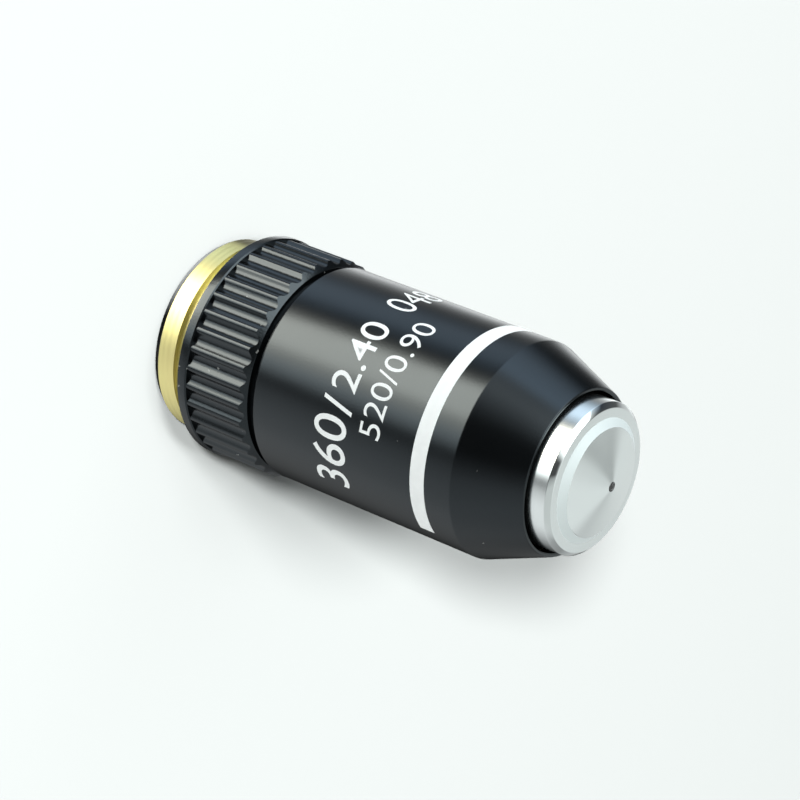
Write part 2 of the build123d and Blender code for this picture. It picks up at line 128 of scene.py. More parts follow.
class ObjectiveShape(PropertyGroup):
    turn_steps: IntProperty(
        name="Turning steps", description="Steps round a turned piece", default=360, min=36
    )
    flute_count: IntProperty(name="Flutes", description="Flutes round the grip", default=36, min=6)
    flute_depth: FloatProperty(
        name="Flute depth", description="Depth of a flute", default=0.4 * MM, unit="LENGTH"
    )
    flute_radius: FloatProperty(
        name="Flute radius",
        description="Radius of a flute's round valley",
        default=0.95 * MM,
        unit="LENGTH",
    )
    thread_pitch: FloatProperty(
        name="Thread pitch",
        description="Advance of the mounting thread in one turn",
        default=0.7056 * MM,
        unit="LENGTH",
    )
    thread_depth: FloatProperty(
        name="Thread depth",
        description="Depth of the worn, shallow turns that show",
        default=0.018 * MM,
        unit="LENGTH",
    )
    edge_radius: FloatProperty(
        name="Edge radius", description="Rounding of turned edges", default=0.06 * MM, unit="LENGTH"
    )
    letter_height: FloatProperty(
        name="Paint height",
        description="Height of the printed numbers over the enamel",
        default=0.012 * MM,
        unit="LENGTH",
    )
    large_text: StringProperty(
        name="Large number", description="First number of the upper line", default="360"
    )
    middle_text: StringProperty(
        name="Middle number", description="Second number of the upper line", default="2.40"
    )
    last_text: StringProperty(
        name="Last number", description="Last number of the upper line", default="048"
    )
    small_text: StringProperty(
        name="Small line", description="Numbers of the lower line", default="520/0.90"
    )


class ObjectiveFinish(PropertyGroup):
    enamel: FloatVectorProperty(
        name="Enamel",
        description="Black enamel",
        subtype="COLOR",
        size=3,
        default=(0.0022, 0.0025, 0.0028),
    )
    enamel_gloss: FloatProperty(
        name="Enamel roughness",
        description="Roughness of the black enamel",
        default=0.22,
        min=0,
        max=1,
    )
    white: FloatVectorProperty(
        name="White paint",
        description="White of the band and the numbers",
        subtype="COLOR",
        size=3,
        default=(0.9, 0.91, 0.91),
    )
    gold: FloatVectorProperty(
        name="Thread gold",
        description="Bare golden metal of the thread",
        subtype="COLOR",
        size=3,
        default=(1.0, 0.87, 0.4),
    )
    nose: FloatVectorProperty(
        name="Nose metal",
        description="Polished metal of the nose",
        subtype="COLOR",
        size=3,
        default=(0.81, 0.85, 0.85),
    )


class ObjectiveStudio(PropertyGroup):
    lens: FloatProperty(
        name="Lens", description="Focal length in millimetres", default=138.3, min=1
    )
    camera_distance: FloatProperty(
        name="Camera distance",
        description="Level distance of the camera from the axis",
        default=254.65 * MM,
        unit="LENGTH",
    )
    camera_height: FloatProperty(
        name="Camera height",
        description="Height of the camera over the floor",
        default=189.0 * MM,
        unit="LENGTH",
    )
    camera_turn: FloatProperty(
        name="Camera turn",
        description="Turn of the whole view round the axis",
        default=math.radians(2.3),
        subtype="ANGLE",
    )
    camera_side: FloatProperty(
        name="Camera side step",
        description="Step of the camera to its left",
        default=0.29 * MM,
        unit="LENGTH",
    )
    camera_pitch: FloatProperty(
        name="Camera pitch",
        description="How far the camera looks down",
        default=math.radians(32.97),
        subtype="ANGLE",
    )
    camera_roll: FloatProperty(
        name="Camera roll",
        description="Roll of the camera",
        default=math.radians(111.53),
        subtype="ANGLE",
    )
    floor: FloatVectorProperty(
        name="Floor",
        description="Pale floor",
        subtype="COLOR",
        size=3,
        default=(0.0685, 0.07, 0.0697),
    )
    key_power: FloatProperty(
        name="Key light", description="Power of the lights on the floor", default=3950.0, min=0
    )
    side_power: FloatProperty(
        name="Side light", description="Power of the light beside the camera", default=1.3, min=0
    )
    tent: FloatProperty(name="Tent", description="Brightness of the light tent", default=1.0, min=0)


# Helpers for shapes


def new_piece(name, mesh_bm, body, materials):
    mesh = bpy.data.meshes.new(name)
    mesh_bm.to_mesh(mesh)
    mesh_bm.free()
    for material in materials:
        mesh.materials.append(material)
    piece = bpy.data.objects.new(name, mesh)
    bpy.context.scene.collection.objects.link(piece)
    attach(piece, body)
    return piece


def shade(mesh):
    mesh.polygons.foreach_set("use_smooth", [True] * len(mesh.polygons))
    mesh.set_sharp_from_angle(angle=SHARP)


def turned(profile, steps):
    """Spins a closed profile of (radius, height) pairs round the optical axis."""
    bm = bmesh.new()
    ring = [bm.verts.new((radius, 0, height)) for radius, height in profile]
    edges = [bm.edges.new((a, b)) for a, b in zip(ring, ring[1:] + ring[:1])]
    bmesh.ops.spin(
        bm,
        geom=ring + edges,
        cent=(0, 0, 0),
        axis=(0, 0, 1),
        angle=math.tau,
        steps=steps,
        use_merge=True,
    )
    bmesh.ops.recalc_face_normals(bm, faces=bm.faces)
    return bm


def ring_edges(bm, radius, height, reach=0.002 * MM):
    def on_ring(vert):
        return abs(vert.co.z - height) < reach and abs(vert.co.xy.length - radius) < reach

    return [edge for edge in bm.edges if on_ring(edge.verts[0]) and on_ring(edge.verts[1])]


def round_rings(bm, rings, width, segments=3):
    for radius, height in rings:
        bmesh.ops.bevel(
            bm,
            geom=ring_edges(bm, radius, height),
            offset=width,
            offset_type="OFFSET",
            segments=segments,
            profile=0.5,
            affect="EDGES",
            clamp_overlap=True,
            material=-1,
        )


# Helpers for materials


class Nodes:
    """Adds shader nodes to a tree and links them."""

    def __init__(self, tree):
        self.tree = tree
        tree.nodes.clear()

    def add(self, kind, **settings):
        item = self.tree.nodes.new(kind)
        for key, value in settings.items():
            setattr(item, key, value)
        return item

    def put(self, socket, value):
        if isinstance(value, bpy.types.NodeSocket):
            self.tree.links.new(value, socket)
        else:
            socket.default_value = value

    def math(self, operation, *values, clamp=False):
        item = self.add("ShaderNodeMath", operation=operation, use_clamp=clamp)
        for socket, value in zip(item.inputs, values):
            self.put(socket, value)
        return item.outputs[0]

    def ramp(self, factor, stops):
        item = self.add("ShaderNodeValToRGB")
        elements = item.color_ramp.elements
        while len(elements) < len(stops):
            elements.new(0.5)
        for element, (position, colour) in zip(elements, stops):
            element.position = position
        for element, (position, colour) in zip(elements, stops):
            element.color = (*colour, 1)
        self.put(item.inputs[0], factor)
        return item.outputs[0]

    def step(self, value, low, high):
        item = self.add("ShaderNodeMapRange", interpolation_type="SMOOTHSTEP")
        for socket, entry in zip(item.inputs, (value, low, high, 0.0, 1.0)):
            self.put(socket, entry)
        return item.outputs[0]

    def mix(self, factor, first, second):
        item = self.add("ShaderNodeMix", data_type="RGBA")
        self.put(item.inputs[0], factor)
        self.put(item.inputs[6], first)
        self.put(item.inputs[7], second)
        return item.outputs[2]

    def noise(self, vector, scale, detail=2.0):
        item = self.add("ShaderNodeTexNoise")
        self.put(item.inputs["Vector"], vector)
        item.inputs["Scale"].default_value = scale
        item.inputs["Detail"].default_value = detail
        item.inputs["Roughness"].default_value = 0.5
        return item.outputs[0]

    def bump(self, height, strength, distance):
        item = self.add("ShaderNodeBump")
        item.inputs["Strength"].default_value = strength
        item.inputs["Distance"].default_value = distance
        self.put(item.inputs["Height"], height)
        return item.outputs[0]

    def parts(self, vector):
        """The x, y and z of a vector, and its distance from the optical axis."""
        split = self.add("ShaderNodeSeparateXYZ")
        self.put(split.inputs[0], vector)
        x, y, z = split.outputs
        flat = self.math("ADD", self.math("MULTIPLY", x, x), self.math("MULTIPLY", y, y))
        return x, y, z, self.math("SQRT", flat)


def tinted(colour, factor=1.0):
    """That colour, brighter or darker by a factor, as the four numbers of a colour socket."""
    return (*(min(factor * channel, 1) for channel in colour), 1)


def new_material(name):
    material = bpy.data.materials.new(name)
    material.use_nodes = True
    nodes = Nodes(material.node_tree)
    shader = nodes.add("ShaderNodeBsdfPrincipled")
    output = nodes.add("ShaderNodeOutputMaterial")
    nodes.put(output.inputs["Surface"], shader.outputs[0])
    where = nodes.add("ShaderNodeTexCoord").outputs["Object"]
    return material, nodes, shader, where


ENAMEL_SHEEN = (0.86, 1.0, 1.1, 1)
ENAMEL_DUST = (0.16, 0.16, 0.15, 1)
GRIP_DUST = (0.2, 0.2, 0.19, 1)


def enamel_material(name, colour, roughness, grain):
    """Black enamel with a fine orange-peel grain and a few pale specks of dust."""
    material, nodes, shader, where = new_material(name)
    patches = nodes.noise(where, 320.0, 3.0)
    dust = nodes.noise(where, 1500.0, 1.0)
    speck = nodes.step(dust, 0.80, 0.83)
    base = nodes.mix(patches, tinted(colour, 0.8), tinted(colour, 1.2))
    nodes.put(shader.inputs["Base Color"], nodes.mix(speck, base, ENAMEL_DUST))
    low = roughness - 0.03
    spread = nodes.math("MULTIPLY", patches, 0.06)
    nodes.put(shader.inputs["Roughness"], nodes.math("ADD", spread, low))
    shader.inputs["Specular Tint"].default_value = ENAMEL_SHEEN
    peel = nodes.noise(where, 5200.0, 2.0)
    nodes.put(shader.inputs["Normal"], nodes.bump(peel, grain, 0.02 * MM))
    return material


def white_material(name, colour):
    """White paint with faint mottling and soft gloss."""
    material, nodes, shader, where = new_material(name)
    mottle = nodes.noise(where, 900.0, 3.0)
    paint = nodes.mix(mottle, tinted(colour, 0.94), tinted(colour, 1.06))
    nodes.put(shader.inputs["Base Color"], paint)
    shader.inputs["Roughness"].default_value = 0.38
    shader.inputs["Specular IOR Level"].default_value = 0.2
    grain = nodes.noise(where, 6000.0)
    nodes.put(shader.inputs["Normal"], nodes.bump(grain, 0.15, 0.01 * MM))
    return material


def turned_metal(name, colour, roughness, groove, spread=0.1):
    """Lathe-turned metal: fine rings round the optical axis and soft stains."""
    material, nodes, shader, where = new_material(name)
    z, radius = nodes.parts(where)[2:]
    across = nodes.add("ShaderNodeCombineXYZ")
    nodes.put(across.inputs[0], radius)
    nodes.put(across.inputs[2], z)
    rings = nodes.noise(across.outputs[0], 9000.0, 2.0)
    stain = nodes.noise(where, 260.0, 3.0)
    metal = nodes.mix(stain, tinted(colour, 1 - spread), tinted(colour, 1 + spread))
    nodes.put(shader.inputs["Base Color"], metal)
    shader.inputs["Metallic"].default_value = 1.0
    satin = nodes.math("ADD", nodes.math("MULTIPLY", rings, 0.08), roughness - 0.04)
    nodes.put(shader.inputs["Roughness"], satin)
    nodes.put(shader.inputs["Normal"], nodes.bump(rings, groove, 0.004 * MM))
    return material


def glass_material(name, colour):
    """Coated lens glass."""
    material, nodes, shader, where = new_material(name)
    bloom = nodes.noise(where, 700.0)
    nodes.put(shader.inputs["Base Color"], nodes.mix(bloom, tinted(colour, 0.96), tinted(colour)))
    shader.inputs["Transmission Weight"].default_value = 1.0
    shader.inputs["Roughness"].default_value = 0.02
    shader.inputs["IOR"].default_value = 1.52
    return material


def mount_material(name, finish):
    """By height: enamelled grip and flange, bare golden thread and relief, and a dark lead-in; on
    one side of the thread, by azimuth, a painted dark reflection darkens the gold.
    """
    material, nodes, shader, where = new_material(name)
    x, y, z, radius = nodes.parts(where)
    over_lead = nodes.step(z, LEAD_TOP - 0.03 * MM, LEAD_TOP + 0.05 * MM)
    under_shoulder = nodes.step(z, SHOULDER - 0.02 * MM, SHOULDER - 0.06 * MM)
    outside = nodes.step(radius, RELIEF_RADIUS - 0.3 * MM, RELIEF_RADIUS - 0.2 * MM)
    bare = nodes.math("MULTIPLY", nodes.math("MULTIPLY", over_lead, under_shoulder), outside)
    stain = nodes.noise(where, 320.0, 3.0)
    plain_gold = nodes.mix(stain, tinted(finish.gold, 0.92), tinted(finish.gold, 1.06))
    # Painted reflection: between azimuths of about -66 and -110 degrees the gold is darkened to
    # about a fifth, standing in for a dark thing mirrored in the thread
    side = nodes.math("DEGREES", nodes.math("ARCTAN2", x, nodes.math("MULTIPLY", y, -1.0)))
    near_end = nodes.step(side, -56.0, -66.0)
    far_end = nodes.step(side, -150.0, -110.0)
    dark_reflection_mask = nodes.math("MULTIPLY", near_end, far_end)
    # Mixes the painted dark reflection into the stained gold
    gold = nodes.mix(dark_reflection_mask, plain_gold, tinted(finish.gold, 0.22))
    patches = nodes.noise(where, 320.0, 3.0)
    dust = nodes.step(nodes.noise(where, 1700.0, 1.0), 0.77, 0.80)
    enamel = nodes.mix(patches, tinted(finish.enamel, 0.8), tinted(finish.enamel, 1.3))
    dusty = nodes.mix(dust, enamel, GRIP_DUST)
    nodes.put(shader.inputs["Base Color"], nodes.mix(bare, dusty, gold))
    nodes.put(shader.inputs["Metallic"], bare)
    nodes.put(shader.inputs["Specular Tint"], nodes.mix(bare, ENAMEL_SHEEN, (1, 1, 1, 1)))
    gilded = nodes.math("MULTIPLY", bare, 0.3)
    spread = nodes.math("MULTIPLY", patches, 0.08)
    gloss = nodes.math("ADD", spread, finish.enamel_gloss - 0.09)
    nodes.put(shader.inputs["Roughness"], nodes.math("ADD", gloss, gilded))
    peel = nodes.noise(where, 4200.0, 2.0)
    rough = nodes.math("MULTIPLY", peel, nodes.math("SUBTRACT", 1.0, bare))
    nodes.put(shader.inputs["Normal"], nodes.bump(rough, 0.5, 0.02 * MM))
    return material


# Pieces


def flute_outline(shape):
    """One ring of edges round the grip: round valleys and the crests that are tangent to them."""
    count = shape.flute_count
    half = math.pi / count
    valley_centre = GRIP_RADIUS - shape.flute_depth + shape.flute_radius
    overlap = valley_centre - GRIP_RADIUS
    sweep = 1 - math.cos(half)
    crest = (overlap**2 + 2 * valley_centre * GRIP_RADIUS * sweep - shape.flute_radius**2) / (
        2 * (shape.flute_radius - overlap + valley_centre * sweep)
    )
    valley = Vector((valley_centre, 0, FLUTE_FLOOR))
    turn = Matrix.Rotation(half, 3, "Z")
    crest_centre = turn @ Vector((GRIP_RADIUS - crest, 0, 0)) + Vector((0, 0, FLUTE_FLOOR))
    towards = (crest_centre - valley).normalized()
    tangent = valley + towards * shape.flute_radius
    floor = Vector((valley_centre - shape.flute_radius, 0, FLUTE_FLOOR))
    valley_angle = (floor - valley).angle(tangent - valley)
    top = turn @ Vector((GRIP_RADIUS, 0, 0)) + Vector((0, 0, FLUTE_FLOOR))
    crest_angle = (tangent - crest_centre).angle(top - crest_centre)
    bm = bmesh.new()
    start = bm.verts.new(floor)
    bmesh.ops.spin(bm, geom=[start], cent=valley, axis=(0, 0, 1), angle=-valley_angle, steps=4)
    last = max(bm.verts, key=lambda vert: vert.co.y)
    bmesh.ops.spin(bm, geom=[last], cent=crest_centre, axis=(0, 0, 1), angle=crest_angle, steps=4)
    bmesh.ops.mirror(
        bm, geom=list(bm.verts) + list(bm.edges), matrix=Matrix.Identity(4), merge_dist=0, axis="Y"
    )
    bmesh.ops.remove_doubles(bm, verts=bm.verts, dist=WELD)
    bmesh.ops.spin(
        bm,
        geom=list(bm.verts) + list(bm.edges),
        cent=(0, 0, 0),
        axis=(0, 0, 1),
        angle=math.tau * (count - 1) / count,
        steps=count - 1,
        use_duplicate=True,
    )
    bmesh.ops.remove_doubles(bm, verts=bm.verts, dist=WELD)
    return bm


def pull_ring(bm, edges, radius, height):
    """Extrudes a ring of edges to a circle of that radius and height, or straight up without it."""
    made = bmesh.ops.extrude_edge_only(bm, edges=edges)["geom"]
    for item in made:
        if isinstance(item, bmesh.types.BMVert):
            flat = item.co.xy.length
            level = height(flat) if callable(height) else height
            scale = 1.0 if radius is None else radius / flat
            item.co = (item.co.x * scale, item.co.y * scale, level)
    return [
        item
        for item in made
        if isinstance(item, bmesh.types.BMEdge) and all(vert in made for vert in item.verts)
    ]


def cut_thread(bm, shape):
    """Sinks the worn helical turns into the rows of the thread, fading out at both ends."""
    run_out = 0.25 * MM
    for vert in bm.verts:
        flat = vert.co.xy.length
        if abs(flat - THREAD_RADIUS) < WELD and LEAD_TOP < vert.co.z < THREAD_TOP:
            turn = math.atan2(vert.co.y, vert.co.x) / math.tau
            phase = vert.co.z / shape.thread_pitch - turn
            fade = min(1, (vert.co.z - LEAD_TOP) / run_out, (THREAD_TOP - vert.co.z) / run_out)
            depth = shape.thread_depth * fade * (0.5 - 0.5 * math.cos(math.tau * phase))
            vert.co.xy *= (flat - depth) / flat


def build_mount(shape, finish):
    bm = flute_outline(shape)
    outline = list(bm.edges)
    ring = outline
    lip = GRIP_RADIUS + 0.004 * MM
    profile = [
        (lip, FLUTE_FLOOR),
        (FLANGE_RADIUS, FLANGE_TOP),
        (FLANGE_RADIUS, SHOULDER),
        (RELIEF_RADIUS, SHOULDER),
        (RELIEF_RADIUS, THREAD_TOP),
    ]
    profile += [
        (THREAD_RADIUS, THREAD_TOP + (LEAD_TOP - THREAD_TOP) * row / THREAD_ROWS)
        for row in range(THREAD_ROWS + 1)
    ]
    profile += [
        (LEAD_RADIUS, 0.0),
        (REAR_BORE_RADIUS, 0.0),
        (REAR_BORE_RADIUS, REAR_BORE_TOP),
        (GUIDE_BORE_RADIUS, REAR_BORE_TOP),
        (GUIDE_BORE_RADIUS, SPIGOT_TOP),
        (SPIGOT_RADIUS, SPIGOT_TOP),
        (SPIGOT_RADIUS, SLEEVE_BASE),
        (NECK_RADIUS, SLEEVE_BASE),
        (NECK_RADIUS, GRIP_TOP),
        (CHAMFER_RADIUS, GRIP_TOP),
    ]
    for radius, height in profile:
        ring = pull_ring(bm, ring, radius, height)
    top = pull_ring(bm, outline, None, lambda flat: GRIP_TOP - (flat - CHAMFER_RADIUS))
    bmesh.ops.bridge_loops(bm, edges=ring + top)
    cut_thread(bm, shape)
    bmesh.ops.recalc_face_normals(bm, faces=bm.faces)
    sharp = [
        (FLANGE_RADIUS, SHOULDER),
        (LEAD_RADIUS, 0.0),
        (REAR_BORE_RADIUS, 0.0),
        (CHAMFER_RADIUS, GRIP_TOP),
        (NECK_RADIUS, SLEEVE_BASE),
    ]
    round_rings(bm, sharp, shape.edge_radius)
    piece = new_piece(
        "fluted_mount", bm, "body", [mount_material("mount finish", finish)]
    )
    shade(piece.data)
    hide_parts("mount_body")


def build_sleeve(shape, finish):
    edge = 0.15 * MM
    edge_bevel = 0.05 * MM
    cone_bevel = 0.12 * MM
    rim_bevel = 0.09 * MM
    mouth_bevel = 0.1 * MM
    profile = [
        (SLEEVE_BORE, SLEEVE_BASE),
        (SLEEVE_RADIUS - edge, SLEEVE_BASE),
        (SLEEVE_RADIUS, SLEEVE_BASE + edge),
        (SLEEVE_RADIUS, CONE_BASE),
        (RIM_RADIUS, MOUTH),
        (MOUTH_RADIUS + mouth_bevel, MOUTH),
        (MOUTH_RADIUS, MOUTH - mouth_bevel),
        (MOUTH_RADIUS, STOP),
        (SLEEVE_BORE, STOP),
    ]
    bm = turned(profile, shape.turn_steps)
    round_rings(bm, [(SLEEVE_RADIUS, CONE_BASE)], cone_bevel)
    round_rings(bm, [(RIM_RADIUS, MOUTH)], rim_bevel)
    base_rings = [(SLEEVE_RADIUS, SLEEVE_BASE + edge), (SLEEVE_RADIUS - edge, SLEEVE_BASE)]
    round_rings(bm, base_rings, edge_bevel)
    material = enamel_material("sleeve enamel", finish.enamel, finish.enamel_gloss, 0.22)
    piece = new_piece("sleeve_shell", bm, "body", [material])
    shade(piece.data)
    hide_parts("outer_sleeve")


def build_band(shape, finish):
    start = math.radians(BAND_END + BAND_OPEN)
    inner = SLEEVE_RADIUS - 0.05 * MM
    bm = bmesh.new()
    corners = [
        bm.verts.new((radius * math.sin(start), -radius * math.cos(start), height))
        for radius, height in (
            (inner, BAND_BASE),
            (BAND_RADIUS, BAND_BASE),
            (BAND_RADIUS, BAND_TOP),
            (inner, BAND_TOP),
        )
    ]
    end = bm.faces.new(corners)
    bmesh.ops.spin(
        bm,
        geom=[end, *end.edges, *end.verts],
        cent=(0, 0, 0),
        axis=(0, 0, 1),
        angle=math.radians(360 - BAND_OPEN),
        steps=shape.turn_steps,
    )
    bmesh.ops.recalc_face_normals(bm, faces=bm.faces)
    white = white_material("band white", finish.white)
    piece = new_piece("enamel_band", bm, "body", [white])
    shade(piece.data)
    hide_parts("white_band")


def number_mesh(text, weight):
    """A flat mesh of plain numbers, from the built-in font."""
    curve = bpy.data.curves.new("number outline", "FONT")
    curve.body = text
    curve.size = 1.0
    curve.offset = weight
    curve.resolution_u = 6
    holder = bpy.data.objects.new("number outline", curve)
    bpy.context.scene.collection.objects.link(holder)
    bpy.context.view_layer.update()
    mesh = bpy.data.meshes.new_from_object(holder)
    bpy.data.objects.remove(holder)
    bpy.data.curves.remove(curve)
    return mesh


def wrap_numbers(bm, text, weight, first, last, foot, height, turn):
    """Bends numbers round the sleeve, from azimuth first to last, with their tops to the thread."""
    flat = bmesh.new()
    flat.from_mesh(number_mesh(text, weight))
    bmesh.ops.remove_doubles(flat, verts=flat.verts, dist=0.0001)
    left = min(vert.co.x for vert in flat.verts)
    right = max(vert.co.x for vert in flat.verts)
    base = min(vert.co.y for vert in flat.verts)
    top = max(vert.co.y for vert in flat.verts)
    width = math.radians(first - last) * SLEEVE_RADIUS
    for vert in flat.verts:
        vert.co.x = (vert.co.x - left) / (right - left) * width
        vert.co.y = (vert.co.y - base) / (top - base) * height
    stroke_step = 0.25 * MM
    cuts = int(width / stroke_step)
    for cut in range(1, cuts):
        bmesh.ops.bisect_plane(
            flat,
            geom=list(flat.verts) + list(flat.edges) + list(flat.faces),
            dist=0.0001 * MM,
            plane_co=(width * cut / cuts, 0, 0),
            plane_no=(1, 0, 0),
        )
    radius = SLEEVE_RADIUS - PAINT_ROOT
    for vert in flat.verts:
        azimuth = math.radians(first) - vert.co.x / SLEEVE_RADIUS + turn
        level = foot - vert.co.y
        vert.co = (radius * math.sin(azimuth), -radius * math.cos(azimuth), level)
    scratch = bpy.data.meshes.new("wrapped numbers")
    flat.to_mesh(scratch)
    flat.free()
    bm.from_mesh(scratch)
    bpy.data.meshes.remove(scratch)


def build_numbers(shape, finish, turn):
    bm = bmesh.new()
    # Text, weight of its strokes, first and last azimuth, height of its feet and its own height
    lines = (
        (shape.large_text, 0.002, 58.75, 18.0, 26.08 * MM, 4.0 * MM),
        ("/", 0.008, 15.5, 8.5, 26.3 * MM, 3.6 * MM),
        (shape.middle_text, 0.002, 4.4, -35.6, 26.0 * MM, 3.1 * MM),
        (shape.last_text, -0.004, -48.75, -78.75, 26.0 * MM, 3.4 * MM),
        (shape.small_text, -0.004, 21.9, -46.25, 30.0 * MM, 2.5 * MM),
    )
    for line in lines:
        wrap_numbers(bm, *line, turn)
    for face in bm.faces:
        middle = face.calc_center_median()
        face.normal_update()
        if face.normal.xy.dot(middle.xy) < 0:
            face.normal_flip()
    inner = list(bm.faces)
    raised = bmesh.ops.extrude_face_region(bm, geom=inner, use_keep_orig=True)["geom"]
    for item in raised:
        if isinstance(item, bmesh.types.BMVert):
            item.co.xy *= 1 + (shape.letter_height + PAINT_ROOT) / SLEEVE_RADIUS
    bmesh.ops.reverse_faces(bm, faces=inner)
    bmesh.ops.recalc_face_normals(bm, faces=bm.faces)
    white = white_material("number white", finish.white)
    piece = new_piece("sleeve_numbers", bm, "body", [white])
    shade(piece.data)


def build_nose(shape, finish):
    bore = 0.8 * MM
    passage = 1.4 * MM
    cell = 4.05 * MM
    inner = 6.75 * MM
    seat = TIP - 1.15 * MM
    cell_top = 46.92 * MM
    wall = 45.52 * MM
    lens_depth = 0.3 * MM
    chamfer_bevel = 0.05 * MM
    boss_bevel = 0.06 * MM
    near = 0.01 * MM
    profile = [
        (inner, NOSE_BASE),
        (NOSE_RADIUS, NOSE_BASE),
        (NOSE_RADIUS, NOSE_FACE - NOSE_CHAMFER),
        (NOSE_RADIUS - NOSE_CHAMFER, NOSE_FACE),
        (BOSS_RADIUS, NOSE_FACE),
        (TIP_BASE_RADIUS, BOSS_TOP),
        (TIP_RIM_RADIUS, TIP),
        (bore, TIP - lens_depth),
        (bore, seat),
        (passage, seat),
        (passage, cell_top),
        (cell, cell_top),
        (cell, wall),
        (inner, wall),
    ]
    bm = turned(profile, shape.turn_steps)
    chamfer = [(NOSE_RADIUS, NOSE_FACE - NOSE_CHAMFER), (NOSE_RADIUS - NOSE_CHAMFER, NOSE_FACE)]
    round_rings(bm, chamfer, chamfer_bevel)
    round_rings(bm, [(TIP_BASE_RADIUS, BOSS_TOP), (BOSS_RADIUS, NOSE_FACE)], boss_bevel)
    sides = turned_metal("nose satin side", finish.nose, 0.22, 0.1, 0.03)
    face = turned_metal("nose turned face", finish.nose, 0.2, 0.4, 0.03)
    # Painted highlight: the boss takes the nose metal 5 % brighter, a lit copy of the same metal;
    # its high roughness is its own matte finish
    boss = turned_metal("nose bright boss", tinted(finish.nose, 1.05)[:3], 0.8, 0.3, 0.02)
    cone = turned_metal("nose turned cone", finish.nose, 0.16, 0.4, 0.03)
    edge = turned_metal("nose polished edge", finish.nose, 0.06, 0.1, 0.03)
    metals = [sides, face, boss, cone, edge]
    piece = new_piece("nose_shell", bm, "nose", metals)
    for polygon in piece.data.polygons:
        middle = polygon.center
        flat = Vector(middle.xy).length
        if middle.z > BOSS_TOP - 2 * near and flat < TIP_BASE_RADIUS:
            polygon.material_index = metals.index(cone)
        elif middle.z > NOSE_FACE + near:
            polygon.material_index = metals.index(boss)
        elif middle.z > NOSE_FACE - near:
            polygon.material_index = metals.index(face)
        elif middle.z > NOSE_FACE - NOSE_CHAMFER - near and flat > cell:
            polygon.material_index = metals.index(edge)
    shade(piece.data)
    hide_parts("nose_cap")


def build_spring():
    """A flat-wire coil in place of the return spring."""
    wire_width = 1.2 * MM
    wire_height = 0.8 * MM
    coils = 6
    steps = coils * 48
    low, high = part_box("return_spring")
    length = high.z - low.z
    bm = bmesh.new()
    corners = [
        bm.verts.new((radius, 0, height))
        for radius, height in (
            (high.y - wire_width, low.z),
            (high.y, low.z),
            (high.y, low.z + wire_height),
            (high.y - wire_width, low.z + wire_height),
        )
    ]
    end = bm.faces.new(corners)
    bmesh.ops.spin(
        bm,
        geom=[end, *end.edges, *end.verts],
        cent=(0, 0, 0),
        axis=(0, 0, 1),
        dvec=(0, 0, (length - wire_height) / steps),
        angle=coils * math.tau,
        steps=steps,
    )
    bmesh.ops.recalc_face_normals(bm, faces=bm.faces)
    steel = turned_metal("spring steel", (0.55, 0.56, 0.57), 0.3, 0.3)
    piece = new_piece("coil_spring", bm, "body", [steel])
    shade(piece.data)
    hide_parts("return_spring")
    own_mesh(piece)


def finish_inner():
    black = turned_metal("blackened parts", (0.02, 0.02, 0.022), 0.55, 0.3)
    brass = turned_metal("inner brass", (0.8, 0.6, 0.26), 0.28, 0.3)
    steel = turned_metal("inner steel", (0.55, 0.56, 0.57), 0.3, 0.3)
    glass = glass_material("lens glass", (0.93, 0.96, 0.97))
    slots = {
        "bare_brass": brass,
        "steel": steel,
        "blackened_metal": black,
        "optical_glass": glass,
    }
    record = frame["record"]
    for entry in record["subparts"]:
        if entry["material_slot"] in slots:
            node = frame["nodes"][entry["node"]]
            node.data.materials.clear()
            node.data.materials.append(slots[entry["material_slot"]])


# Studio


WALL = (0.9, 0.935, 0.925, 1)
FLOOR_LAMP_REACH = 4.0


